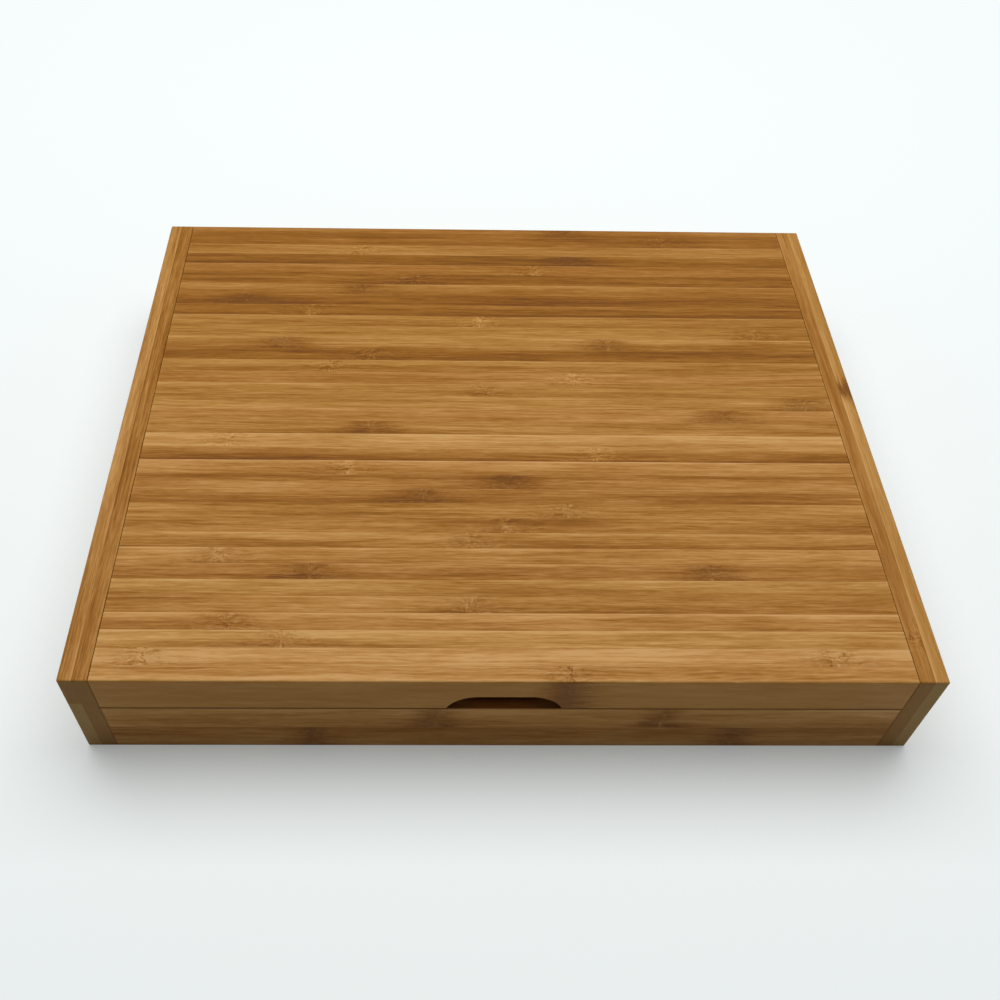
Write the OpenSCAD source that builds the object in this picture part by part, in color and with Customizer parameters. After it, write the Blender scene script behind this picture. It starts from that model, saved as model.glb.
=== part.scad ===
// Bamboo cheese board set: a shallow box whose thick hinged lid is the board, with four
// cheese tools lying in a routed tray inside.
// Frame: the origin is the middle of the footprint on the table, +X to the right, +Y to the
// hinged back, +Z up. Millimetres.

/* [Box] */
// Outside width, rail to rail
box_w = 305; // [290:1:340]
// Outside depth, front to hinged back
box_d = 251; // [240:1:290]
// Outside height of the end rails
box_h = 47; // [45:0.5:52]
// Thickness of the two end rails
rail_t = 10.75; // [9:0.25:14]
// Thickness of the front and back walls
wall_t = 12; // [10:0.5:14]
// Radius of the rails' outer upright corners
corner_r = 1.25; // [1:0.25:4]
// Rounding along the rails' long outer edges
side_r = 1.5; // [0.8:0.1:2]
// Rounding along the front and back edges
edge_r = 0.8; // [0.5:0.1:1.2]
// Easing of the edges along the seam under the lid
seam_r = 0.45; // [0.2:0.05:0.5]
// Easing of the edges at tight joints and beside the lid's ends
joint_r = 0.15; // [0.1:0.05:0.3]

/* [Lid] */
// Thickness of the board that is the lid
lid_t = 18.5; // [17:0.5:20]
// Open gap between each end of the lid and its rail
lid_gap = 0.2; // [0.2:0.05:1.2]
// Gap under the lid along the back wall
back_gap = 0.4; // [0.3:0.05:0.8]
// Width of the finger notch along the seam
notch_w = 41; // [36:1:60]
// Height of the finger notch
notch_h = 8.2; // [6:0.2:9]
// Radius of the notch's upper corners
notch_r = 12; // [10:0.5:13]
// How far the notch reaches in from the front
notch_d = 16; // [15:0.5:22]

/* [Hinge] */
// Diameter of the steel hinge pins
pin_d = 5; // [4:0.5:6]
// Height of the pin axis above the lid's underside
pin_up = 8; // [7.5:0.25:9]
// Distance of the pin axis from the lid's back face
pin_in = 7; // [6:0.25:7]
// How far each pin reaches into the lid
pin_reach = 18; // [12:1:26]
// Radial play of the pin in the lid's bore
pin_play = 0.05; // [0.02:0.01:0.1]
// How far each pin's outer end lies below the rail's face
pin_sunk = 0.5; // [0.2:0.1:1]

/* [Base and corners] */
// Thickness of the base panel
base_t = 5; // [4:0.25:6]
// Height of the base panel above the table
base_up = 3; // [2:0.5:4]
// Depth of the grooves that hold the base panel
groove_d = 4; // [3:0.5:5]
// Diameter of the corner dowels
dowel_d = 6; // [5:0.5:6]
// Depth of a dowel in its rail
dowel_in_rail = 6; // [5:0.5:7]
// Depth of a dowel in its wall
dowel_in_wall = 20; // [14:1:24]

/* [Tray] */
// Thickness of the tool tray
tray_t = 12; // [11:0.5:13]
// Depth of the pockets for the handles
pocket_d = 8.5; // [8:0.25:9]
// Corner radius of the blade pockets, left by the router bit
pocket_r = 5; // [3:0.5:5.5]
// Radius of the finger scoop across the handles
scoop_r = 30; // [26:1:40]
// Depth of the finger scoop
scoop_d = 6; // [4:0.5:7]

/* [Tools] */
// Spacing of the tools, side by side
tool_pitch = 66; // [60:1:67]
// Length of each turned handle
handle_len = 88; // [80:1:92]
// Largest diameter of a handle, near its butt
handle_d = 13; // [12:0.5:13.5]
// Diameter of a handle at its ferrule
neck_d = 10.4; // [9.5:0.1:11]
// Length of each ferrule
ferrule_len = 14; // [10:1:16]
// Diameter of the round tangs
tang_d = 4.5; // [4:0.25:5]
// Depth of a tang in its handle
tang_len = 45; // [30:1:60]
// Thickness of the blades
blade_t = 2.2; // [1.8:0.1:2.6]
// Length of the spade's blade from its ferrule
spade_len = 66; // [58:1:72]
// Width of the spade's blade
spade_w = 36; // [30:1:40]
// Length of the pronged knife's blade
pronged_len = 78; // [70:1:84]
// Length of the flat knife's blade
flat_len = 64; // [56:1:72]
// Width of the flat knife's edge
flat_w = 33; // [28:1:38]
// Length of the fork's tines and shoulders
fork_len = 74; // [66:1:80]
// Width of the fork
fork_w = 21; // [18:1:24]

/* [Hidden] */
$fn = 64;

// Colours of bamboo, its end pieces and the steel
bamboo = [0.66, 0.45, 0.22];
bamboo_pale = [0.73, 0.53, 0.28];
bamboo_dark = [0.55, 0.36, 0.17];
steel = [0.76, 0.77, 0.78];

// Places of the box's faces
out_x = box_w / 2;
in_x = out_x - rail_t;
out_y = box_d / 2;
in_y = out_y - wall_t;
seam_z = box_h - lid_t;
lid_x = in_x - lid_gap;
floor_z = base_up + base_t;

// Hinge axis, and the steps that draw a small, a large and the least rounding
pin_y = out_y - pin_in;
pin_z = seam_z + pin_up;
arc_steps = 6;
fine_steps = 14;
joint_steps = 2;

// Grooves, dowels and the glue room at a blind end
groove_play = 0.2;
panel_play = 0.3;
glue_room = 0.5;
dowel_play = 0.05;
dowel_edge = 1.5;
dowel_low_z = floor_z + groove_play + dowel_edge + dowel_d / 2;
dowel_high_z = seam_z - back_gap - dowel_edge - dowel_d / 2;
wall_mid_y = out_y - wall_t / 2;
overcut = 1;

// Tray and tools
tray_gap = 0.5;
tray_top = floor_z + tray_t;
pocket_z = tray_top - pocket_d;
pocket_room = 1.5;
blade_room = 2;
blade_clear = 1.4;
tool_seat = 0.02;
tool_z = pocket_z + handle_d / 2 + tool_seat;
tool_y = -(handle_len + ferrule_len + pronged_len) / 2;
mouth_y = tool_y + handle_len + ferrule_len;
tool_count = 4;
spade_x = slot_x(0);
pronged_x = slot_x(1);
fork_x = slot_x(2);
flat_x = slot_x(3);

// Form of the handles, ferrules and blade necks
dome_len = 5;
dome_steps = 6;
shaft_steps = 12;
waist = 0.7;
ferrule_play = 0.03;
ferrule_mouth_d = 8.4;
ferrule_bead = 2.4;
neck_len = 14;
neck_tip_r = 1.5;
plate_from = 5;
plate_neck = 3;
edge_t = 0.6;
lens_r = 200;
large_round = 256;
shoulder_len = 13;
shoulder_steps = 8;
flat_neck_w = 23;
pronged_w = 18;
prong_w = 4.2;
prong_gap = 3.2;
prong_hook = 6;
prong_bend = 0.55;
prong_from = 0.74;
belly_at = 0.28;
blade_steps = 24;
fork_sweep_r = 420;
tine_gap_r = 4.2;
tine_root_y = 34;
tine_tip_in = 6.6;
tine_tip_out = 7.8;

// Place of a tool in the row across the tray, counted from the left
function slot_x(k) = (k - (tool_count - 1) / 2) * tool_pitch;

// Points on an arc, and a rectangle with four chosen corner radii
function arc_points(centre, r, from, to, steps) =
    [for (k = [0:steps])
        let (a = from + (to - from) * k / steps)
        centre + r * [cos(a), sin(a)]];

function corner(centre, r, from, steps) =
    arc_points(centre, r, from, from + 90, r > joint_r ? steps : joint_steps);

function eased_rect(lo, hi, r, steps = arc_steps) = concat(
    corner([lo.x + r[0], lo.y + r[0]], r[0], 180, steps),
    corner([hi.x - r[1], lo.y + r[1]], r[1], 270, steps),
    corner([hi.x - r[2], hi.y - r[2]], r[2], 0, steps),
    corner([lo.x + r[3], hi.y - r[3]], r[3], 90, steps));

// A closed slot outline with half-round ends, lying along the first axis
function slot_outline(half_len, r) = concat(
    arc_points([half_len, 0], r, -90, 90, fine_steps),
    arc_points([-half_len, 0], r, 90, 270, fine_steps));

// Extrusions that lay a drawn (x, z) or (y, z) outline on its own plane
module along_y(from, to) {
    translate([0, to, 0])
        rotate([90, 0, 0])
            linear_extrude(to - from)
                children();
}

module along_x(from, to) {
    translate([from, 0, 0])
        rotate([90, 0, 90])
            linear_extrude(to - from)
                children();
}

module rod_x(from, to, y, z, r, steps = $fn) {
    translate([from, y, z])
        rotate([0, 90, 0])
            cylinder(h = to - from, r = r, $fn = steps);
}

// A board with its edges eased: radii go round each outline from the low corner
module eased_board(lo, hi, plan_r, front_r, side_r) {
    intersection() {
        translate([0, 0, lo.z])
            linear_extrude(hi.z - lo.z)
                polygon(eased_rect([lo.x, lo.y], [hi.x, hi.y], plan_r));
        along_y(lo.y, hi.y)
            polygon(eased_rect([lo.x, lo.z], [hi.x, hi.z], front_r));
        along_x(lo.x, hi.x)
            polygon(eased_rect([lo.y, lo.z], [hi.y, hi.z], side_r));
    }
}

// Holes for the two dowels at each end of each wall, opened by some glue room
module dowel_rods(r, room) {
    for (side = [-1, 1])
        for (wall = [-1, 1])
            for (z = [dowel_low_z, dowel_high_z])
                let (
                    rail_end = side * (in_x + dowel_in_rail + room),
                    wall_end = side * (in_x - dowel_in_wall - room)
                )
                rod_x(min(rail_end, wall_end), max(rail_end, wall_end), wall * wall_mid_y, z, r);
}

module dowel_holes() {
    dowel_rods(dowel_d / 2 + dowel_play, glue_room);
}

// End rails: full height, with a stopped groove for the base and a bore for the hinge pin
module left_rail_solid() {
    difference() {
        eased_board(
            [-out_x, -out_y, 0], [-in_x, out_y, box_h],
            [corner_r, joint_r, joint_r, corner_r],
            [side_r, joint_r, joint_r, side_r],
            [edge_r, edge_r, edge_r, edge_r]);
        translate([0, 0, base_up + (base_t + groove_play) / 2])
            along_x(-in_x - groove_d, -in_x + overcut)
                polygon(slot_outline(in_y + groove_d, (base_t + groove_play) / 2));
        rod_x(-out_x - overcut, -in_x + overcut, pin_y, pin_z, pin_d / 2);
        dowel_holes();
    }
}

module left_rail() {
    color(bamboo_pale) left_rail_solid();
}

module right_rail() {
    color(bamboo_pale) mirror([1, 0, 0]) left_rail_solid();
}

// Long walls: their outer face is at y = -out_y, with a groove for the base behind it
module wall_solid(top_z) {
    difference() {
        eased_board(
            [-in_x, -out_y, 0], [in_x, -in_y, top_z],
            [joint_r, joint_r, joint_r, joint_r],
            [joint_r, joint_r, joint_r, joint_r],
            [edge_r, seam_r, seam_r, seam_r]);
        translate([-in_x - overcut, -in_y - groove_d, base_up])
            cube([2 * (in_x + overcut), groove_d + overcut, base_t + groove_play]);
        dowel_holes();
    }
}

module front_wall() {
    color(bamboo) wall_solid(seam_z);
}

module back_wall() {
    color(bamboo) mirror([0, 1, 0]) wall_solid(seam_z - back_gap);
}

module base_panel() {
    half_x = in_x + groove_d - panel_play;
    half_y = in_y + groove_d - panel_play;
    color(bamboo_dark)
        translate([-half_x, -half_y, base_up])
            cube([2 * half_x, 2 * half_y, base_t]);
}

module corner_dowels() {
    color(bamboo_pale) dowel_rods(dowel_d / 2, 0);
}

// Lid board: its lower back edge is a round about the hinge axis, so that it turns over the
// back wall, and its square back face comes down on that wall when the lid stands open
function lid_section() = concat(
    arc_points([-out_y + seam_r, seam_z + seam_r], seam_r, 180, 270, arc_steps),
    arc_points([pin_y, pin_z], pin_up, 270, 270 + asin(pin_in / pin_up), fine_steps),
    arc_points([out_y - edge_r, box_h - edge_r], edge_r, 0, 90, arc_steps),
    arc_points([-out_y + edge_r, box_h - edge_r], edge_r, 90, 180, arc_steps));

// Finger notch: a flat top between two arcs that run out at the seam
module notch_cutter() {
    run = sqrt(notch_r * notch_r - pow(notch_r - notch_h, 2));
    flat = notch_w / 2 - run;
    arc_z = seam_z + notch_h - notch_r;
    sweep = acos((notch_r - notch_h) / notch_r);
    outline = concat(
        [[notch_w / 2, seam_z - overcut]],
        arc_points([flat, arc_z], notch_r, 90 - sweep, 90, fine_steps),
        arc_points([-flat, arc_z], notch_r, 90, 90 + sweep, fine_steps),
        [[-notch_w / 2, seam_z - overcut]]);
    along_y(-out_y - overcut, -out_y + notch_d)
        polygon(outline);
}

module lid_board() {
    ease = [joint_r, joint_r, joint_r, joint_r];
    color(bamboo)
        difference() {
            intersection() {
                along_x(-lid_x, lid_x)
                    polygon(lid_section());
                along_y(-out_y, out_y)
                    polygon(eased_rect([-lid_x, seam_z], [lid_x, box_h], ease));
                translate([0, 0, seam_z])
                    linear_extrude(lid_t)
                        polygon(eased_rect([-lid_x, -out_y], [lid_x, out_y], ease));
            }
            notch_cutter();
            for (side = [-1, 1])
                let (
                    mouth = side * (lid_x + overcut),
                    end = side * (in_x - pin_reach - glue_room)
                )
                rod_x(min(mouth, end), max(mouth, end), pin_y, pin_z, pin_d / 2 + pin_play);
        }
}

module left_hinge_pin() {
    color(steel) rod_x(-out_x + pin_sunk, -in_x + pin_reach, pin_y, pin_z, pin_d / 2);
}

module right_hinge_pin() {
    color(steel) rod_x(in_x - pin_reach, out_x - pin_sunk, pin_y, pin_z, pin_d / 2);
}

// Tool tray: a deep pocket for each handle, ferrule and neck, a shallower one for the blade,
// and a finger scoop across the handles
module handle_pocket(x) {
    r = handle_d / 2 + pocket_room;
    from = tool_y - pocket_room;
    to = mouth_y + neck_len;
    translate([x, (from + to) / 2, pocket_z])
        rotate([0, 0, 90])
            linear_extrude(tray_t)
                polygon(slot_outline((to - from) / 2 - r, r));
}

module blade_pocket(x, width, len) {
    half_w = width / 2 + blade_room;
    from = mouth_y - ferrule_len;
    to = mouth_y + len + blade_room;
    corners = [pocket_r, pocket_r, pocket_r, pocket_r];
    translate([x, 0, tool_z - blade_t / 2 - blade_clear])
        linear_extrude(tray_t)
            polygon(eased_rect([-half_w, from], [half_w, to], corners, fine_steps));
}

module tool_tray() {
    half_x = in_x - tray_gap;
    half_y = in_y - tray_gap;
    side = [edge_r, edge_r, edge_r, edge_r];
    rim = [seam_r, seam_r, edge_r, edge_r];
    color(bamboo)
        difference() {
            eased_board([-half_x, -half_y, floor_z], [half_x, half_y, tray_top], side, rim, rim);
            for (k = [0:tool_count - 1])
                handle_pocket(slot_x(k));
            blade_pocket(spade_x, spade_w, spade_len);
            blade_pocket(pronged_x, fork_w, pronged_len);
            blade_pocket(fork_x, fork_w, fork_len);
            blade_pocket(flat_x, flat_w, flat_len);
            rod_x(-out_x, out_x, tool_y + handle_len / 2, tray_top + scoop_r - scoop_d, scoop_r);
        }
}

// Turned handle: a domed butt, a slight waist and a bore for the tang
function handle_r(y) =
    y < dome_len
        ? handle_d / 2 * sqrt(1 - pow(1 - y / dome_len, 2))
        : let (s = (y - dome_len) / (handle_len - dome_len))
            handle_d / 2 + (neck_d - handle_d) / 2 * s - waist * sin(180 * s);

module turned(x, y) {
    translate([x, y, tool_z])
        rotate([-90, 0, 0])
            rotate_extrude()
                children();
}

module handle(x) {
    dome = [for (k = [1:dome_steps]) dome_len * (1 - cos(90 * k / dome_steps))];
    shaft = [for (k = [1:shaft_steps]) dome_len + (handle_len - dome_len) * k / shaft_steps];
    bore_r = tang_d / 2 + ferrule_play;
    color(bamboo_dark)
        difference() {
            turned(x, tool_y)
                polygon(concat(
                    [[0, 0]],
                    [for (y = concat(dome, shaft)) [handle_r(y), y]],
                    [[0, handle_len]]));
            translate([x, tool_y + handle_len - tang_len - glue_room, tool_z])
                rotate([-90, 0, 0])
                    cylinder(h = tang_len + glue_room + overcut, r = bore_r);
        }
}

module ferrule(x) {
    bore_r = tang_d / 2 + ferrule_play;
    color(steel)
        turned(x, tool_y + handle_len)
            polygon([
                [bore_r, 0],
                [neck_d / 2, 0],
                [neck_d / 2, ferrule_bead],
                [neck_d / 2 - edge_t / 2, ferrule_bead + edge_t],
                [ferrule_mouth_d / 2, ferrule_len],
                [bore_r, ferrule_len]
            ]);
}

// Blade stem: the round tang behind the ferrule's mouth and a tapering neck ahead of it
module stem() {
    reach = ferrule_len + tang_len;
    rotate([90, 0, 0])
        cylinder(h = reach, r = tang_d / 2);
    rotate([-90, 0, 0])
        cylinder(h = neck_len, r1 = ferrule_mouth_d / 2 - edge_t, r2 = neck_tip_r);
}

// Faces of a blade that thins from its middle to both edges
module blade_faces(len) {
    intersection() {
        translate([0, -overcut, blade_t / 2 - lens_r])
            rotate([-90, 0, 0])
                cylinder(h = len + 2 * overcut, r = lens_r, $fn = large_round);
        translate([0, -overcut, lens_r - blade_t / 2])
            rotate([-90, 0, 0])
                cylinder(h = len + 2 * overcut, r = lens_r, $fn = large_round);
    }
}

// Side outline of a blade that thins over its last stretch to the edge
module tip_wedge(len, from, half_w) {
    along_x(-half_w, half_w)
        polygon([
            [0, -blade_t], [from, -blade_t / 2], [len, -edge_t / 2],
            [len, edge_t / 2], [from, blade_t / 2], [0, blade_t]
        ]);
}

module plate(outline) {
    translate([0, 0, -fork_w / 2])
        linear_extrude(fork_w)
            polygon(outline);
}

module at_mouth(x) {
    translate([x, mouth_y, tool_z])
        children();
}

// Right half of a rounded shoulder, and the outline made from a right half
function shoulder(half_w) =
    [for (k = [0:shoulder_steps])
        let (a = 90 * k / shoulder_steps)
        [plate_neck + (half_w - plate_neck) * sin(a), plate_from + shoulder_len * (1 - cos(a))]];

function mirrored(points) = concat(
    points,
    [for (k = [len(points) - 1:-1:0])
        if (points[k].x > 0) [-points[k].x, points[k].y]]);

// Spade: a pointed leaf between two arcs
module leaf_arc(side, r, y) {
    translate([side * (r - spade_w / 2), y, -blade_t])
        cylinder(h = 2 * blade_t, r = r);
}

module spade_blade() {
    leaf_len = spade_len - plate_from;
    leaf_r = (pow(leaf_len, 2) + pow(spade_w, 2)) / (4 * spade_w);
    leaf_y = plate_from + leaf_len / 2;
    color(steel)
        at_mouth(spade_x)
            union() {
                stem();
                intersection() {
                    blade_faces(spade_len);
                    leaf_arc(-1, leaf_r, leaf_y);
                    leaf_arc(1, leaf_r, leaf_y);
                    tip_wedge(spade_len, leaf_y, spade_w);
                }
            }
}

module spade_ferrule() {
    ferrule(spade_x);
}

module spade_handle() {
    handle(spade_x);
}

// Pronged knife: a blade that hooks to its back and splits into two points
function pronged_y(t) = plate_from + (pronged_len - plate_from) * t;

function pronged_mid(t) =
    t < prong_bend ? 0 : prong_hook * pow((t - prong_bend) / (1 - prong_bend), 2);

function pronged_half(t) =
    t < belly_at
        ? plate_neck + (pronged_w / 2 - plate_neck) * sin(90 * t / belly_at)
        : let (s = (t - belly_at) / (1 - belly_at))
            pronged_w / 2 + (prong_w - pronged_w / 2) * s * s * (3 - 2 * s);

function pronged_side(side) =
    [for (k = [0:blade_steps])
        let (t = k / blade_steps)
        [pronged_mid(t) + side * pronged_half(t), pronged_y(t)]];

function prong_split_side(side) =
    [for (k = [1:arc_steps + 1])
        let (s = k / arc_steps, t = prong_from + (1 - prong_from) * s)
        [pronged_mid(t) + side * prong_gap * s, pronged_y(t)]];

function reversed(points) = [for (k = [len(points) - 1:-1:0]) points[k]];

module pronged_blade() {
    split = concat(
        [[pronged_mid(prong_from), pronged_y(prong_from)]],
        prong_split_side(1),
        reversed(prong_split_side(-1)));
    color(steel)
        at_mouth(pronged_x)
            union() {
                stem();
                difference() {
                    intersection() {
                        blade_faces(pronged_len);
                        plate(concat(pronged_side(1), reversed(pronged_side(-1))));
                    }
                    plate(split);
                }
            }
}

module pronged_ferrule() {
    ferrule(pronged_x);
}

module pronged_handle() {
    handle(pronged_x);
}

// Flat knife: a flared plate with its cutting edge across the end
module flat_blade() {
    half = concat(shoulder(flat_neck_w / 2), [[flat_w / 2, flat_len]]);
    color(steel)
        at_mouth(flat_x)
            union() {
                stem();
                intersection() {
                    plate(mirrored(half));
                    tip_wedge(flat_len, flat_len - shoulder_len, flat_w);
                }
            }
}

module flat_ferrule() {
    ferrule(flat_x);
}

module flat_handle() {
    handle(flat_x);
}

// Fork: two tapered tines from rounded shoulders, swept upwards along a large arc
module sweep_shell() {
    difference() {
        rod_x(
            -fork_w, fork_w, shoulder_len, fork_sweep_r,
            fork_sweep_r + blade_t / 2, large_round);
        rod_x(
            -2 * fork_w, 2 * fork_w, shoulder_len, fork_sweep_r,
            fork_sweep_r - blade_t / 2, large_round);
    }
}

module fork_tines() {
    half = concat(
        shoulder(fork_w / 2),
        [[tine_tip_out, fork_len], [tine_tip_in, fork_len]],
        arc_points([0, tine_root_y], tine_gap_r, 0, -90, fine_steps));
    color(steel)
        at_mouth(fork_x)
            union() {
                stem();
                intersection() {
                    plate(mirrored(half));
                    sweep_shell();
                }
            }
}

module fork_ferrule() {
    ferrule(fork_x);
}

module fork_handle() {
    handle(fork_x);
}

left_rail();
right_rail();
front_wall();
back_wall();
base_panel();
corner_dowels();
lid_board();
left_hinge_pin();
right_hinge_pin();
tool_tray();
spade_blade();
spade_ferrule();
spade_handle();
pronged_blade();
pronged_ferrule();
pronged_handle();
flat_blade();
flat_ferrule();
flat_handle();
fork_tines();
fork_ferrule();
fork_handle();
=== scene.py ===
"""Looks of the bamboo cheese board set: strip bamboo, turned handles and steel tools."""
from math import radians

import bpy
from mathutils import Matrix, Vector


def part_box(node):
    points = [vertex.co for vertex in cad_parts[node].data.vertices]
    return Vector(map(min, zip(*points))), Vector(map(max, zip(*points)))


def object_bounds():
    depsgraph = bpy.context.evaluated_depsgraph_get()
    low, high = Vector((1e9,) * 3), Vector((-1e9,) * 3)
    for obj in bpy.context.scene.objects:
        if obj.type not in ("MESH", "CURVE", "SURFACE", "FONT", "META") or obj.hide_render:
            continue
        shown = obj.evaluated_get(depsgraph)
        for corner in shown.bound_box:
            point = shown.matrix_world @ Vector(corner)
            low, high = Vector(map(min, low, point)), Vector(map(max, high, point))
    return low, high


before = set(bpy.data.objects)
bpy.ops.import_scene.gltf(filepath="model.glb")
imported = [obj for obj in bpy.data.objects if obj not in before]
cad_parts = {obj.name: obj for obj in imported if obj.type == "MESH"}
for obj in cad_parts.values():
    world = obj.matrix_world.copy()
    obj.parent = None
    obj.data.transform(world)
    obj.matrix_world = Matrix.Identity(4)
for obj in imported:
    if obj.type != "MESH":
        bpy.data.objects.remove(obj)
cad_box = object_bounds()

# Millimetres in a metre, and the most stops that one colour ramp holds
MM = 1000
RAMP_LIMIT = 32

# Strips of each board in order, each with its tone, from 0, dark, to 10, pale, then how much
# paler its far side is than its near side, and where its knuckles lie along it in millimetres.
# The lid's strips run left to right and are counted from the front. Taken together their tones run
# darker toward the back
LID_STRIPS = [
    (8, -2, 22), (10, 1, -125, 115), (8, 2, -78), (6, 4, -98), (5, 1, -12), (6, 4),
    (4, 1, -70, 77), (6, 3, -105), (5, 4, -11), (4, -1, 2), (5, -1, 26), (3, 3, -29),
    (4, -2, 4), (7, 3, -59), (3, 5, 40), (9, 2, -108), (5, 0, -51), (6, 1, 94),
    (6, 0, 130), (5, 2, -4), (5, 1, 34), (5, 2, -70), (1, 1, -53), (5, 2, -91, 51),
    (5, -1, 116), (5, 1, -5), (1, 2, -81), (0, 1, -111), (4, 1, -58), (1, -1, -34),
    (3, 1, 21), (0, 2, 40), (5, -2, -60), (1, -1, 84), (3, 3, 38),
]
LID_DARK_KNUCKLES = [0, 1, 6, 11, 12, 16, 17, 18, 23, 27, 28, 31, 34]
LID_PALE_KNUCKLES = [13, 14, 15, 20, 21, 22, 25, 26, 30, 32]
LID_PITCH = 7.229
LID_FIRST = 6.141
LID_FRONT_SHADE = 0.19

# Each rail has an outer and an inner ply, and each ply three strips, the top one first:
# left outer, left inner, right outer, right inner
RAIL_STRIPS = [
    (6, 1), (3, 2), (7, 0, 17), (4, 0, -108),
    (7, 1, 40), (4, 2, -60), (7, 0, -30), (4, 1, 80),
    (6, 1, -90), (3, 1, 20), (6, 0, 100), (4, 0, -10),
]
RAIL_DARK_KNUCKLES = [2, 5, 8, 10]
RAIL_PALE_KNUCKLES = [3]
RAIL_PALE_ENDS = [2, 4, 6, 8, 10]
RAIL_PLIES = 2
RAIL_STRIP_HEIGHT = 15.7

# Each wall has a lower and an upper strip, first the front wall's
WALL_STRIPS = [(5, -5, -69, 85), (6, 3, 57, -24), (4, 1, 30), (6, 2, -80, 66)]
WALL_DARK_KNUCKLES = [0, 1, 3]
WALL_ROWS = 2
WALL_STRIP_HEIGHT = 14.6
WALL_STRIP_SPREAD = 0.55

# The listed tones and leans as shares of the cane's whole range of tones
TONE_LOW = 0.29
TONE_STEP = 0.06
LEAN_STEPS = 12
NO_KNUCKLE = -500
FAINT_KNUCKLE = 0.35

# Boards whose strips are drawn at random: how wide the strips are, and their middle tone, how far
# the tones spread, how much paler the far sides are, and the length between knuckles
TRAY_PITCH = 7.4
TRAY_STRIPS = {"tone": 0.72, "spread": 0.3, "lean": 0.16, "seed": 21.0, "length": 280}
PANEL_PITCH = 19
PANEL_STRIPS = {"tone": 0.66, "spread": 0.28, "lean": 0.05, "seed": 31.0, "length": 280}
HANDLE_PITCH = 4.6
HANDLE_STRIPS = {"tone": 0.5, "spread": 0.3, "lean": 0.1, "seed": 41.0, "length": 250}
COUNT_FROM = 200
DRAW_SEEDS = (0.0, 0.2, 0.3, 0.6, 0.9)
NEXT_KNUCKLE = 0.6
NEXT_KNUCKLE_SPREAD = 0.24
DARK_KNUCKLE_DRAWN = (0.3, 0.4)

# How much calmer than at the front of the lid's top the grain of other faces is
LID_FRONT_CALM = 0.68
LID_BACK_CALM = 0.25
WALL_CALM = 0.32
RIGHT_RAIL_CALM = 0.3
RAIL_SIDE_CALM = 0.3

# How far a knuckle's dark lens reaches along its strip, and how strong it is
KNUCKLE_REACH = 10.5
LID_FRONT_REACH = 5.5
LID_FRONT_KNUCKLES = 1.7
WALL_REACH = 6.5
WALL_KNUCKLES = 1.35
RAIL_REACH = 5.0
RAIL_KNUCKLES = 2.2

# The finger notch, with painted shade inside it: half its width, its height and its depth, and the
# wall's edge under it, painted with the red of light bounced into the notch, turning to painted shade
# from near the front to farther in
NOTCH_HALF = 20.7
NOTCH_TOP = 8.5
NOTCH_DEEP = 16.2
NOTCH_SHADE_STARTS = (0.2, 1.2)
NOTCH_PAINTED_NEAR = 1.5
NOTCH_PAINTED_FAR = 4.5
NOTCH_PAINTED_FADE = 10.0
NOTCH_PAINTED_RAGGED = 1.6
# The painted red of bounced light, then the painted shade's brown and how much of it shows
NOTCH_BOUNCE_RED = (0.46, 0.17, 0.035)
NOTCH_SHADE_BROWN = (0.095, 0.022, 0.005)
NOTCH_SHADE_SHARE = 0.95

# Painted shade in the open seams: how far up from the seam it lies, how deep in, and how much of it
SEAM_SHADE_WIDTH = 0.6
SEAM_SHADE_DEEP = 3.0
SEAM_SHADE_SHARE = 0.9

# Bamboo from its dark outer wood to its pale inner wood, and the other browns of the boards
CANE_TONES = [
    (0.0, (0.120, 0.036, 0.0)),
    (0.2, (0.183, 0.060, 0.0)),
    (0.34, (0.251, 0.093, 0.003)),
    (0.45, (0.302, 0.118, 0.011)),
    (0.65, (0.406, 0.186, 0.035)),
    (0.87, (0.521, 0.267, 0.075)),
    (1.0, (0.598, 0.330, 0.110)),
]
CANE_TINTS = [(0.0, (0.98, 1.015, 0.9)), (0.5, (1.0, 1.0, 1.0)), (1.0, (1.02, 0.98, 1.06))]
TINT_SHARE = 0.6
KNUCKLE_BROWN = (0.185, 0.064, 0.002)
# The glue lines' brown, which also paints the shade along the open seams
GLUE_AND_SEAM_SHADE_BROWN = (0.165, 0.062, 0.009)
DARK_END = (0.250, 0.124, 0.034)
PALE_END = (0.330, 0.203, 0.070)

# Each strip comes from its own stretch of cane, this far from the next, and has its own draws
CANE_STRETCH = 900
CANE_SEED = 7.7
RIM_SEED = 1.3
SCAR_SEED = 4.7
TINT_SEED = 3.1

# Marks in wood and steel: how long, wide and deep each kind is in millimetres, and how finely it
# is broken up. Strokes are measured in parts of their direction and in millimetres outwards
MARKS = {
    "broad": (90, 3.2, 11, 2),
    "drift": (70, 16, 16, 1),
    "streak": (24, 0.95, 2.6, 3),
    "fibre": (8.5, 0.42, 0.7, 2),
    "fleck": (5, 0.8, 1.0, 2),
    "pale dash": (13, 0.75, 1.0, 1),
    "dark dash": (17, 0.6, 0.9, 1),
    "sway": (48, 6, 7, 2),
    "swirl": (7, 2.6, 3.2, 2),
    "ragged edge": (11, 0.9, 1.2, 3),
    "squiggle": (2.4, 0.8, 1.0, 3),
    "scar break": (5, 2.2, 2.6, 1),
    "scar line": (0.45, 2.4, 2.4, 2),
    "thread": (4.4, 2.7, 3.0, 1),
    "stroke": (0.3, 0.3, 9, 1),
    "wear": (6, 6, 6, 2),
    "glue break": (30, 9, 9, 2),
    "end dot": (30, 0.5, 0.5, 2),
    "end blotch": (30, 5, 7, 2),
    "notch painted edge": (9, 2, 2, 1),
    "blade line": (30, 0.12, 0.12, 3),
    "ferrule line": (0.25, 9, 9, 3),
    "pin line": (3, 3, 3, 3),
    "smear": (18, 14, 14, 2),
    "dowel grain": (20, 0.5, 0.5, 3),
}

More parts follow.
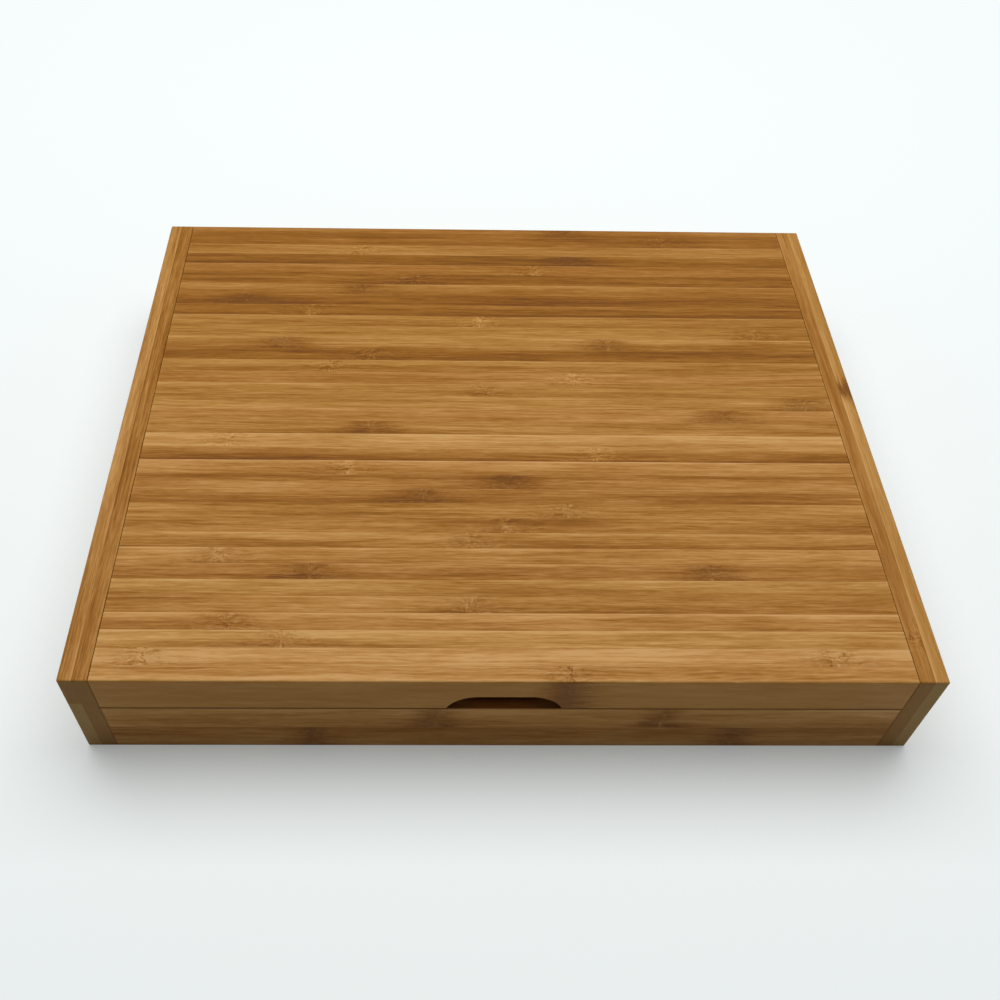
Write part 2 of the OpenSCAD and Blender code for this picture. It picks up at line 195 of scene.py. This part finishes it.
# How much paler each kind of mark makes a strip, and where along the cane the dashes start
GRAIN_STRENGTHS = {
    "broad": 0.8, "drift": 0.35, "streak": 0.7, "fibre": 0.34, "fleck": 0.32,
    "pale dash": 0.12, "dark dash": -0.12,
}
PALE_DASH_START = 311
PALE_DASH_SHOWN = (0.6, 0.75)
DARK_DASH_START = 733
DARK_DASH_SHOWN = (0.62, 0.78)
SWAY = 1.6
SWIRL = 3.0
SQUIGGLE_WANDER = 0.8

# A knuckle: a ragged lens, longer on its strip's near side, a broken scar across the fibres, and
# a knot of strokes and threads, which are crisper on a pale strip
LENS_SHORTENS = 0.7
LENS_NEAR = 0.6
LENS_RAGGED = 14
LENS_SQUIGGLE = 0.8
LENS_DARK = 0.16
LENS_STREAK = 0.5
LENS_BROWN = 0.4
LENS_BROWN_STREAK = 1.2
SCAR_WIDTH = 2.6
SCAR_RAGGED = 0.2
SCAR_SHOWN = (0.25, 0.6)
SCAR_PALER = 0.26
SCAR_DARKER = 0.04
SCAR_DARK_KNUCKLE = 0.06
KNOT_WIDTH = 4.0
KNOT_MIDDLE = 0.02
STROKE_STRENGTH = 0.55
THREAD_WIDTH = 0.03
THREAD_DARK = 0.12
THREAD_CRISP = 0.4
CRISP_TONES = (0.7, 0.76)
CRISP_FADES_LENS = 0.75

# The pale rim on some strips' far sides, worn edges, cut ends and glue lines
RIM_SPAN = (0.2, 1.0)
RIM_PALER = 0.13
WEAR_WIDTH = 0.9
WEAR_SHOWN = (0.35, 0.65)
WEAR_PALER = 0.08
WEAR_ROUGHER = 0.1
END_FACING = (0.6, 0.9)
END_SHARE = 0.92
END_LOW = 0.1
END_PALER = 0.8
END_BLOTCH = 0.6
END_DOT = 0.3
END_DOT_SHOWN = (0.45, 0.7)
END_ROUGHER = 0.15
GLUE_SPAN = (0.03, 0.2)
GLUE_SHOWN = (0.3, 0.7)
GLUE_SHARE = 0.3
SIDE_FACING = (0.5, 0.9)
TOP_FACING = (0.3, 0.8)

# The boards' sheen and the feel of their grain
OILED = 0.5
TRAY_OILED = 0.55
SANDED = 0.6
STREAK_SMOOTHER = 0.25
FIBRE_SMOOTHER = 0.12
BAMBOO_SPECULAR = 0.12
STREAK_HEIGHT = 0.8
FIBRE_HEIGHT = 0.6
GLUE_HEIGHT = 0.5
BAMBOO_BUMP = {"Strength": 0.35, "Distance": 0.0002}


class Pattern:
    """A number or colour over a surface: one output of a material's nodes."""

    def __init__(self, tree, socket):
        self.tree = tree
        self.socket = socket

    def node(self, kind, settings, sockets, output=0):
        """Adds a node: its settings first, then the value or link of each socket."""
        made = self.tree.nodes.new(kind)
        for name, value in settings.items():
            if name == "stops":
                fill_ramp(made.color_ramp, value)
            elif name == "steps":
                made.color_ramp.interpolation = value
            else:
                setattr(made, name, value)
        for name, value in sockets.items():
            if isinstance(value, Pattern):
                self.tree.links.new(value.socket, made.inputs[name])
            else:
                made.inputs[name].default_value = value
        return Pattern(self.tree, made.outputs[output])

    def math(self, operation, *values):
        return self.node("ShaderNodeMath", {"operation": operation}, dict(enumerate(values)))

    def __add__(self, other):
        return self.math("ADD", self, other)

    def __sub__(self, other):
        return self.math("SUBTRACT", self, other)

    def __rsub__(self, other):
        return self.math("SUBTRACT", other, self)

    def __mul__(self, other):
        return self.math("MULTIPLY", self, other)

    def __truediv__(self, other):
        return self.math("DIVIDE", self, other)

    def __gt__(self, other):
        return self.math("GREATER_THAN", self, other)

    def __lt__(self, other):
        return self.math("LESS_THAN", self, other)

    def __abs__(self):
        return self.math("ABSOLUTE", self)

    __radd__ = __add__
    __rmul__ = __mul__

    def whole(self):
        return self.math("FLOOR", self)

    def root(self):
        return self.math("SQRT", self)

    def least(self, other):
        return self.math("MINIMUM", self, other)

    def most(self, other):
        return self.math("MAXIMUM", self, other)

    def bell(self, width):
        """One at zero, fading to nothing about two widths away on either side."""
        share = self / width
        return self.math("EXPONENT", share * share * -1)

    def rise(self, low, high):
        """Zero below low and one above high, with a soft step between."""
        settings = {"interpolation_type": "SMOOTHSTEP"}
        return self.node("ShaderNodeMapRange", settings, {0: self, 1: low, 2: high})

    def chance(self, seed):
        """A random number from 0 to 1 for each strip number."""
        return self.node("ShaderNodeTexWhiteNoise", {"noise_dimensions": "1D"}, {"W": self + seed})

    def ramp(self, stops, steps="LINEAR"):
        return self.node("ShaderNodeValToRGB", {"stops": stops, "steps": steps}, {0: self})

    def mixed(self, other, share, blend="MIX"):
        """This colour turned into the other by the given share."""
        settings = {"data_type": "RGBA", "blend_type": blend}
        return self.node("ShaderNodeMix", settings, {0: share, 6: self, 7: opaque(other)}, 2)

    def parts(self, kind="ShaderNodeSeparateXYZ"):
        return [self.node(kind, {}, {0: self}, part) for part in range(3)]

    def table(self, rows):
        """The three numbers in the row that has this strip's number."""
        found = None
        for start in range(0, len(rows), RAMP_LIMIT):
            part = rows[start:start + RAMP_LIMIT]
            stops = [(place / len(part), row) for place, row in enumerate(part)]
            here = ((self + (0.5 - start)) / len(part)).ramp(stops, "CONSTANT")
            found = found.mixed(here, self > start - 0.5) if found else here
        return found.parts("ShaderNodeSeparateColor")


def opaque(colour):
    return colour if isinstance(colour, Pattern) else (*colour, 1.0)


def fill_ramp(ramp, stops):
    while len(ramp.elements) < len(stops):
        ramp.elements.new(1.0)
    for element, (place, colour) in zip(ramp.elements, stops):
        element.position = place
        element.color = (*colour, 1.0)


def new_material(name):
    """A material, its shader, where each point lies in millimetres, and which way it faces."""
    material = bpy.data.materials.new(name)
    material.use_nodes = True
    tree = material.node_tree
    shader = tree.nodes["Principled BSDF"]
    start = Pattern(tree, None)
    place = start.node("ShaderNodeTexCoord", {}, {}, "Object")
    settings = {"operation": "SCALE"}
    millimetres = place.node("ShaderNodeVectorMath", settings, {0: place, "Scale": MM})
    facing = start.node("ShaderNodeTexCoord", {}, {}, "Normal")
    return material, shader, millimetres.parts(), facing.parts()


def feed(shader, name, pattern):
    pattern.tree.links.new(pattern.socket, shader.inputs[name])


def noise(along, across, deep, kind, wander=0.0):
    """Marks of one kind, as numbers from 0 to 1."""
    *lengths, detail = MARKS[kind]
    sides = [side / length for side, length in zip((along, across, deep), lengths)]
    vector = along.node("ShaderNodeCombineXYZ", {}, dict(enumerate(sides)))
    sockets = {"Vector": vector, "Scale": 1.0, "Detail": detail, "Distortion": wander}
    return along.node("ShaderNodeTexNoise", {}, sockets)


def cane_noise(strip, kind):
    return noise(strip["cane"], strip["across"], strip["deep"], kind)


def counted(position, pitch):
    """Strip numbers along a position, and how far across its strip each point is."""
    count = position / pitch
    number = count.whole()
    return number, count - number


def inset(position, low, high):
    """How far inside its two faces a point lies."""
    return (position - low).least(high - position)


def insets(place, node):
    low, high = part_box(node)
    return [inset(side, low[k] * MM, high[k] * MM) for k, side in enumerate(place)]


def nearest_edge(sides):
    """How far a point lies from the nearest edge: the middle one of its three insets."""
    first, second, third = sides
    return first.least(second).most(first.most(second).least(third))


def listed(number, strips, dark_knuckles, pale_knuckles=(), pale_ends=()):
    """What the lists say of each strip. A ramp holds numbers from 0 to 1, so places and leans
    are stored about a half."""
    rows = []
    traits = []
    for place, (tone, lean, *knuckles) in enumerate(strips):
        spots = (knuckles + [NO_KNUCKLE, NO_KNUCKLE])[:2]
        rows.append((tone * TONE_STEP + TONE_LOW, *[spot / MM + 0.5 for spot in spots]))
        dark = 0 if place in pale_knuckles else 1 if place in dark_knuckles else FAINT_KNUCKLE
        traits.append((lean / LEAN_STEPS / 2 + 0.5, dark, place in pale_ends))
    tone, first, second = number.table(rows)
    lean, dark_knuckle, pale_end = number.table(traits)
    return {
        "tone": tone, "lean": (lean - 0.5) * 2, "knuckles": [(first - 0.5) * MM, (second - 0.5) * MM],
        "dark_knuckle": dark_knuckle, "pale_end": pale_end,
    }


def drawn(number, tone, spread, lean, seed, length):
    """The same for strips that no list gives, drawn at random."""
    shade, pale_end, spot, next_spot, dark = [number.chance(seed + step) for step in DRAW_SEEDS]
    first = (spot - 0.5) * length
    second = first + (next_spot * NEXT_KNUCKLE_SPREAD + NEXT_KNUCKLE) * length
    return {
        "tone": tone + (shade - 0.5) * spread, "lean": lean, "knuckles": [first, second],
        "dark_knuckle": dark.rise(*DARK_KNUCKLE_DRAWN), "pale_end": pale_end,
    }


def lid_cut(place, facing):
    """The lid: strips that run left to right, cut away at the notch."""
    x, y, z = place
    low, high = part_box("lid_board")
    into = y - low.y * MM
    height = z - low.z * MM
    back = into / (high.y - low.y) / MM
    number, side = counted(into - LID_FIRST + LID_PITCH, LID_PITCH)
    notch = (abs(x) < NOTCH_HALF) * (height < NOTCH_TOP) * (into < NOTCH_DEEP)
    strip = listed(number, LID_STRIPS, LID_DARK_KNUCKLES, LID_PALE_KNUCKLES)
    front = abs(facing[1]).rise(*SIDE_FACING)
    strip["tone"] = strip["tone"] - front * LID_FRONT_SHADE
    return {
        "along": x, "across": y, "deep": z, "grain_axis": 0,
        "edge": nearest_edge(insets(place, "lid_board")),
        "number": number, "side": side, "pitch": LID_PITCH,
        "calm": (1 - front * LID_FRONT_CALM) * (1 - back * LID_BACK_CALM),
        "knuckle_reach": KNUCKLE_REACH - front * (KNUCKLE_REACH - LID_FRONT_REACH),
        "knuckle_strength": 1 + front * (LID_FRONT_KNUCKLES - 1),
        # Painted shade along the seam where the lid rests on the front wall
        "seam": height.bell(SEAM_SHADE_WIDTH) * into.bell(SEAM_SHADE_DEEP),
        # Painted shade deeper inside the finger notch
        "notch_shade": notch * into.rise(*NOTCH_SHADE_STARTS), **strip,
    }


def rail_cut(place, facing):
    """Both rails: grain front to back, two plies of three strips each."""
    x, y, z = place
    low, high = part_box("right_rail")
    ply_width = (high.x - low.x) / RAIL_PLIES * MM
    ply, side = counted(high.x * MM - abs(x), ply_width)
    row, _ = counted(high.z * MM - z, RAIL_STRIP_HEIGHT)
    right = x > 0
    number = ply + right * RAIL_PLIES + row * (2 * RAIL_PLIES)
    outside = abs(facing[0]).rise(*SIDE_FACING)
    return {
        "along": y, "across": x, "deep": z, "grain_axis": 1,
        "edge": nearest_edge(insets((abs(x), y, z), "right_rail")),
        "number": number, "side": side, "pitch": ply_width,
        "calm": (1 - right * RIGHT_RAIL_CALM) * (1 - outside * RAIL_SIDE_CALM),
        "knuckle_reach": RAIL_REACH, "knuckle_strength": RAIL_KNUCKLES,
        **listed(number, RAIL_STRIPS, RAIL_DARK_KNUCKLES, RAIL_PALE_KNUCKLES, RAIL_PALE_ENDS),
    }


def wall_cut(place, facing):
    """Both walls: grain left to right, two strips one above the other."""
    x, y, z = place
    low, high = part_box("front_wall")
    row, side = counted(z, WALL_STRIP_HEIGHT)
    number = row + (y > 0) * WALL_ROWS
    sides = insets((x, abs(y) * -1, z), "front_wall")
    ends, into, _ = sides
    # Under the notch the wall's top is painted with the red of bounced light near the front and with
    # painted shade farther in
    ragged = (noise(x, y, z, "notch painted edge") - 0.5) * NOTCH_PAINTED_RAGGED
    inward = y - low.y * MM + ragged
    notch_painted_light = (1 - abs(x).rise(NOTCH_HALF / 3, NOTCH_HALF)) * facing[2].rise(*TOP_FACING)
    notch_painted_light = notch_painted_light * (1 - inward.rise(NOTCH_PAINTED_FAR, NOTCH_PAINTED_FADE))
    # Painted shade along the top seam and the ends that meet the rails
    seam = (high.z * MM - z).least(ends)
    return {
        "along": x, "across": z * WALL_STRIP_SPREAD, "deep": y, "grain_axis": 0,
        "edge": nearest_edge(sides), "number": number, "side": side, "pitch": WALL_STRIP_HEIGHT,
        "calm": 1 - WALL_CALM, "knuckle_reach": WALL_REACH, "knuckle_strength": WALL_KNUCKLES,
        "seam": seam.bell(SEAM_SHADE_WIDTH) * into.bell(SEAM_SHADE_DEEP),
        "notch_painted_light": notch_painted_light, "notch_shade": notch_painted_light * inward.rise(NOTCH_PAINTED_NEAR, NOTCH_PAINTED_FAR),
        **listed(number, WALL_STRIPS, WALL_DARK_KNUCKLES),
    }


def flat_cut(place, node, pitch, strips):
    """A flat board inside the box: strips that run left to right."""
    x, y, z = place
    number, side = counted(y + COUNT_FROM, pitch)
    return {
        "along": x, "across": y, "deep": z, "grain_axis": 0,
        "edge": nearest_edge(insets(place, node)), "number": number, "side": side, "pitch": pitch,
        "calm": 1.0, "knuckle_reach": KNUCKLE_REACH, "knuckle_strength": 1.0,
        **drawn(number, **strips),
    }


def tray_cut(place, _):
    return flat_cut(place, "tool_tray", TRAY_PITCH, TRAY_STRIPS)


def panel_cut(place, _):
    return flat_cut(place, "base_panel", PANEL_PITCH, PANEL_STRIPS)


def handle_cut(place, _):
    """The handles: grain along them. They lie side by side, so they wear at the same ends."""
    x, y, z = place
    number, side = counted(x + COUNT_FROM, HANDLE_PITCH)
    return {
        "along": y, "across": x, "deep": z, "grain_axis": 1,
        "edge": insets(place, "spade_handle")[1], "number": number, "side": side,
        "pitch": HANDLE_PITCH, "calm": 1.0, "knuckle_reach": KNUCKLE_REACH, "knuckle_strength": 1.0,
        **drawn(number, **HANDLE_STRIPS),
    }


def nearest_knuckle(strip):
    """The nearest knuckle on each strip: how far it is, and its lens, scar and knot."""
    first, second = [strip["along"] - spot for spot in strip["knuckles"]]
    gap = first + (second - first) * (abs(second) < abs(first))
    dark = strip["dark_knuckle"]
    ragged = (cane_noise(strip, "ragged edge") - 0.5) * LENS_RAGGED
    lens = (gap + ragged) * (LENS_NEAR + strip["side"] * LENS_SHORTENS)
    lens = lens.bell(strip["knuckle_reach"])
    scar = (gap + ragged * SCAR_RAGGED).bell(SCAR_WIDTH - dark)
    crisp = strip["tone"].rise(*CRISP_TONES) * dark
    return {
        "gap": gap, "lens": lens, "knot": gap.bell(KNOT_WIDTH), "crisp": crisp,
        "scar": scar * cane_noise(strip, "scar break").rise(*SCAR_SHOWN),
        "dark_lens": lens * dark * (1 - crisp * CRISP_FADES_LENS) * strip["knuckle_strength"],
    }


def fibre_marks(strip, lens):
    """Marks along the fibres, which sway a little everywhere and swirl beside a knuckle."""
    cane = strip["cane"]
    deep = strip["deep"]
    sway = (cane_noise(strip, "sway") - 0.5) * SWAY
    swirl = (cane_noise(strip, "swirl") - 0.5) * lens * SWIRL
    bent = strip["across"] + sway + swirl
    marks = {kind: noise(cane, bent, deep, kind) - 0.5 for kind in ("broad", "streak", "fibre", "fleck")}
    marks["drift"] = cane_noise(strip, "drift") - 0.5
    marks["squiggle"] = noise(cane, bent, deep, "squiggle", SQUIGGLE_WANDER) - 0.5
    pale = noise(cane + PALE_DASH_START, bent, deep, "pale dash")
    dark = noise(cane + DARK_DASH_START, bent, deep, "dark dash")
    marks["pale dash"] = pale.rise(*PALE_DASH_SHOWN)
    marks["dark dash"] = dark.rise(*DARK_DASH_SHOWN)
    return marks


def strip_tone(strip, marks):
    """How pale a strip is: its own tone, its lean, its grain and the rim on its far side."""
    side = strip["side"]
    grain = sum(marks[kind] * strength for kind, strength in GRAIN_STRENGTHS.items())
    rim = 1 - ((1 - side) * strip["pitch"]).rise(*RIM_SPAN)
    tone = strip["tone"] + (side - 0.5) * strip["lean"] + grain * strip["calm"]
    return tone + rim * strip["number"].chance(RIM_SEED) * RIM_PALER


def knuckle_tone(strip, knuckle, marks):
    """How much paler or darker a knuckle makes its strip."""
    gap = knuckle["gap"]
    off = (strip["side"] - 0.5) * strip["pitch"]
    reach = (gap * gap + off * off + KNOT_MIDDLE).root()
    strokes = noise(gap / reach, off / reach, reach, "stroke") - 0.5
    lines = cane_noise(strip, "scar line") - 0.5
    thread = 1 - abs(cane_noise(strip, "thread") - 0.5).rise(0.0, THREAD_WIDTH)
    lens = knuckle["lens"] * marks["squiggle"] * LENS_SQUIGGLE
    lens = lens - knuckle["dark_lens"] * (LENS_DARK - marks["streak"] * LENS_STREAK)
    paler = strip["number"].chance(SCAR_SEED) * SCAR_PALER - SCAR_DARKER
    scar = knuckle["scar"] * (lines + paler - strip["dark_knuckle"] * SCAR_DARK_KNUCKLE)
    threads = thread * (THREAD_DARK + knuckle["crisp"] * THREAD_CRISP)
    return lens + scar + knuckle["knot"] * (strokes * STROKE_STRENGTH - threads)


def cane_colour(strip, tone, dark_lens, streak):
    """The cane's colour at a tone, with its strip's tint and the brown of its knuckle."""
    tint = strip["number"].chance(TINT_SEED).ramp(CANE_TINTS)
    colour = tone.ramp(CANE_TONES).mixed(tint, TINT_SHARE, "MULTIPLY")
    return colour.mixed(KNUCKLE_BROWN, dark_lens * (streak * LENS_BROWN_STREAK + LENS_BROWN))


def end_grain(strip):
    """The colour of cut ends: duller, blotched, and dotted with the ends of the fibres."""
    sides = (strip["along"], strip["across"], strip["deep"])
    dots = noise(*sides, "end dot").rise(*END_DOT_SHOWN)
    blotch = noise(*sides, "end blotch") - 0.5
    share = strip["pale_end"] * END_PALER + END_LOW + blotch * END_BLOTCH - dots * END_DOT
    return share.ramp([(0.0, DARK_END), (1.0, PALE_END)])


def glue_lines(strip):
    """Glue lines between strips, here and there open enough to hold dirt."""
    side = strip["side"]
    joint = side.least(1 - side) * strip["pitch"]
    return (1 - joint.rise(*GLUE_SPAN)) * cane_noise(strip, "glue break").rise(*GLUE_SHOWN)


def with_painted_light(colour, strip, streak):
    """The colour with painted shade along its seams, and in the finger notch the painted red of bounced
    light and painted shade.
    """
    if "seam" in strip:
        colour = colour.mixed(GLUE_AND_SEAM_SHADE_BROWN, strip["seam"] * SEAM_SHADE_SHARE)
    if "notch_painted_light" in strip:
        colour = colour.mixed(NOTCH_BOUNCE_RED, strip["notch_painted_light"])
    if "notch_shade" in strip:
        colour = colour.mixed(NOTCH_SHADE_BROWN, strip["notch_shade"] * (NOTCH_SHADE_SHARE - streak))
    return colour


def bamboo(name, cut, roughness=OILED):
    """Bamboo glued up from strips. The cut says how the strips of one piece lie."""
    material, shader, place, facing = new_material(name)
    strip = cut(place, facing)
    strip["cane"] = strip["along"] + strip["number"].chance(CANE_SEED) * CANE_STRETCH
    knuckle = nearest_knuckle(strip)
    marks = fibre_marks(strip, knuckle["lens"])
    streak = marks["streak"]
    fibre = marks["fibre"]
    glue = glue_lines(strip)
    end = abs(facing[strip["grain_axis"]]).rise(*END_FACING)
    wear = strip["edge"].bell(WEAR_WIDTH) * noise(*place, "wear").rise(*WEAR_SHOWN)
    tone = strip_tone(strip, marks) + knuckle_tone(strip, knuckle, marks) + wear * WEAR_PALER
    colour = cane_colour(strip, tone, knuckle["dark_lens"], streak)
    colour = colour.mixed(end_grain(strip), end * END_SHARE)
    colour = colour.mixed(GLUE_AND_SEAM_SHADE_BROWN, glue * GLUE_SHARE)
    feed(shader, "Base Color", with_painted_light(colour, strip, streak))
    smoother = streak * STREAK_SMOOTHER + fibre * FIBRE_SMOOTHER
    feed(shader, "Roughness", roughness - smoother + end * END_ROUGHER + wear * WEAR_ROUGHER)
    height = fibre * FIBRE_HEIGHT + streak * STREAK_HEIGHT - glue * GLUE_HEIGHT
    feed(shader, "Normal", height.node("ShaderNodeBump", {}, {**BAMBOO_BUMP, "Height": height}))
    shader.inputs["Specular IOR Level"].default_value = BAMBOO_SPECULAR
    return material


# Steel: the blades' lines run along them, the ferrules' round them
BLADE_STEEL = (0.56, 0.57, 0.58)
BLADE_ROUGHNESS = 0.3
FERRULE_STEEL = (0.6, 0.6, 0.61)
FERRULE_ROUGHNESS = 0.2
PIN_STEEL = (0.5, 0.5, 0.51)
PIN_ROUGHNESS = 0.35
LINE_ROUGHER = 0.3
SMEAR_SHOWN = (0.45, 0.7)
SMEAR_SHADE = 0.93
SMEAR_ROUGHER = 0.1
STEEL_BUMP = {"Strength": 0.2, "Distance": 0.0001}


def steel(name, colour, roughness, lines):
    """Steel with fine lines from its last working, and faint smears."""
    material, shader, (x, y, z), _ = new_material(name)
    worked = noise(y, x, z, lines) - 0.5
    smears = noise(y, x, z, "smear").rise(*SMEAR_SHOWN)
    smeared = tuple(part * SMEAR_SHADE for part in colour)
    feed(shader, "Base Color", smears.ramp([(0.0, colour), (1.0, smeared)]))
    feed(shader, "Roughness", roughness + worked * LINE_ROUGHER + smears * SMEAR_ROUGHER)
    feed(shader, "Normal", worked.node("ShaderNodeBump", {}, {**STEEL_BUMP, "Height": worked}))
    shader.inputs["Metallic"].default_value = 1.0
    return material


DOWEL_TONES = [(0.3, (0.46, 0.29, 0.12)), (0.7, (0.6, 0.41, 0.2))]
DOWEL_ROUGHNESS = 0.5
DOWEL_GRAIN_ROUGHER = 0.2


def dowel_wood():
    material, shader, place, _ = new_material("dowel_wood")
    grain = noise(*place, "dowel grain")
    feed(shader, "Base Color", grain.ramp(DOWEL_TONES))
    feed(shader, "Roughness", DOWEL_ROUGHNESS + grain * DOWEL_GRAIN_ROUGHER)
    return material


def dress(names, material):
    """Gives CAD nodes their finish."""
    for name in names:
        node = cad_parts[name]
        node.data.materials.clear()
        node.data.materials.append(material)


TOOLS = ["spade", "pronged", "flat", "fork"]
BLADES = ["spade_blade", "pronged_blade", "flat_blade", "fork_tines"]
PINS = ["left_hinge_pin", "right_hinge_pin"]
dress(["lid_board"], bamboo("lid_bamboo", lid_cut))
dress(["left_rail", "right_rail"], bamboo("rail_bamboo", rail_cut))
dress(["front_wall", "back_wall"], bamboo("wall_bamboo", wall_cut))
dress(["base_panel"], bamboo("panel_bamboo", panel_cut, SANDED))
dress(["tool_tray"], bamboo("tray_bamboo", tray_cut, TRAY_OILED))
dress([tool + "_handle" for tool in TOOLS], bamboo("handle_bamboo", handle_cut))
dress(["corner_dowels"], dowel_wood())
blade_steel = steel("blade_steel", BLADE_STEEL, BLADE_ROUGHNESS, "blade line")
dress(BLADES, blade_steel)
ferrule_steel = steel("ferrule_steel", FERRULE_STEEL, FERRULE_ROUGHNESS, "ferrule line")
dress([tool + "_ferrule" for tool in TOOLS], ferrule_steel)
dress(PINS, steel("pin_steel", PIN_STEEL, PIN_ROUGHNESS, "pin line"))


def seen_or_lit(tree, seen, lit):
    """The seen shader for the camera and for reflections, and the lit one for all other light."""
    start = Pattern(tree, None)
    camera = start.node("ShaderNodeLightPath", {}, {}, "Is Camera Ray")
    glossy = start.node("ShaderNodeLightPath", {}, {}, "Is Glossy Ray")
    return start.node("ShaderNodeMixShader", {}, {0: camera.most(glossy), 1: lit, 2: seen})


# The floor, half its side and where its own glow rises to full, in metres
FLOOR_SEEN = (0.95, 1.0, 0.995)
FLOOR_LIT = (0.79, 0.85, 0.84)
FLOOR_HALF = 3.0
FLOOR_GLOW = 0.25
FLOOR_GLOW_NEAR = 0.2
FLOOR_GLOW_FAR = 1.0


def floor_finish():
    """Pale paper that keeps the shadow near the box and stays pale far off."""
    material = bpy.data.materials.new("pale_floor")
    material.use_nodes = True
    tree = material.node_tree
    start = Pattern(tree, None)
    place = start.node("ShaderNodeTexCoord", {}, {}, "Object")
    reach = place.node("ShaderNodeVectorMath", {"operation": "LENGTH"}, {0: place}, "Value")
    glow = FLOOR_GLOW + reach.rise(FLOOR_GLOW_NEAR, FLOOR_GLOW_FAR) * (1 - FLOOR_GLOW)
    shaded = start.node("ShaderNodeBsdfDiffuse", {}, {"Color": opaque(FLOOR_SEEN)})
    bright = start.node("ShaderNodeEmission", {}, {"Color": opaque(FLOOR_SEEN)})
    seen = start.node("ShaderNodeMixShader", {}, {0: glow, 1: shaded, 2: bright})
    lit = start.node("ShaderNodeBsdfDiffuse", {}, {"Color": opaque(FLOOR_LIT)})
    shown = seen_or_lit(tree, seen, lit)
    tree.links.new(shown.socket, tree.nodes["Material Output"].inputs["Surface"])
    return material


def pale_floor():
    mesh = bpy.data.meshes.new("pale_floor")
    corners = [(-FLOOR_HALF, -FLOOR_HALF, 0), (FLOOR_HALF, -FLOOR_HALF, 0),
               (FLOOR_HALF, FLOOR_HALF, 0), (-FLOOR_HALF, FLOOR_HALF, 0)]
    mesh.from_pydata(corners, [], [(0, 1, 2, 3)])
    mesh.materials.append(floor_finish())
    floor = bpy.data.objects.new("pale_floor", mesh)
    bpy.context.scene.collection.objects.link(floor)


# The studio's walls as the camera sees them, and as they light the box
WORLD_SEEN = {"Color": (0.95, 0.96, 0.97, 1), "Strength": 0.9}
WORLD_LIT = {"Color": (0.97, 0.99, 1.0, 1), "Strength": 0.12}


def studio_world():
    world = bpy.data.worlds.new("studio")
    world.use_nodes = True
    bpy.context.scene.world = world
    tree = world.node_tree
    start = Pattern(tree, None)
    seen = start.node("ShaderNodeBackground", {}, WORLD_SEEN)
    lit = start.node("ShaderNodeBackground", {}, WORLD_LIT)
    shown = seen_or_lit(tree, seen, lit)
    tree.links.new(shown.socket, tree.nodes["World Output"].inputs["Surface"])


# One softbox above and a little behind the box, in metres and watts
KEY_PLACE = (0.0, 0.38, 1.2)
KEY_WIDTH = 1.8
KEY_DEPTH = 1.0
KEY_WATTS = 19


def key_panel():
    """The softbox, which faces the middle of the box."""
    lamp = bpy.data.lights.new("key_panel", "AREA")
    lamp.shape = "RECTANGLE"
    lamp.size = KEY_WIDTH
    lamp.size_y = KEY_DEPTH
    lamp.energy = KEY_WATTS
    panel = bpy.data.objects.new("key_panel", lamp)
    panel.location = KEY_PLACE
    toward = (cad_box[0] + cad_box[1]) / 2 - panel.location
    panel.rotation_euler = toward.to_track_quat("-Z", "Y").to_euler()
    bpy.context.scene.collection.objects.link(panel)


# Where the photograph was taken from: metres, degrees, and millimetres for lens and sensor
CAMERA_PLACE = (-0.02641, -0.31153, 0.36957)
CAMERA_YAW = 1.809
CAMERA_DOWN = 50.476
CAMERA_ROLL = 1.730
CAMERA_LENS = 39.004
CAMERA_SENSOR = 36
CAMERA_SHIFT = 0.0480
CAMERA_NEAR = 0.01


def photo_camera():
    camera = bpy.data.objects.new("camera", bpy.data.cameras.new("camera"))
    camera.data.sensor_width = CAMERA_SENSOR
    camera.data.lens = CAMERA_LENS
    camera.data.shift_x = CAMERA_SHIFT
    camera.data.clip_start = CAMERA_NEAR
    turn = Matrix.Rotation(radians(-CAMERA_YAW), 4, "Z")
    tilt = Matrix.Rotation(radians(90 - CAMERA_DOWN), 4, "X")
    roll = Matrix.Rotation(radians(CAMERA_ROLL), 4, "Z")
    camera.matrix_world = Matrix.Translation(CAMERA_PLACE) @ turn @ tilt @ roll
    bpy.context.scene.collection.objects.link(camera)
    bpy.context.scene.camera = camera


pale_floor()
studio_world()
key_panel()
photo_camera()
bpy.context.scene.view_settings.view_transform = "Standard"
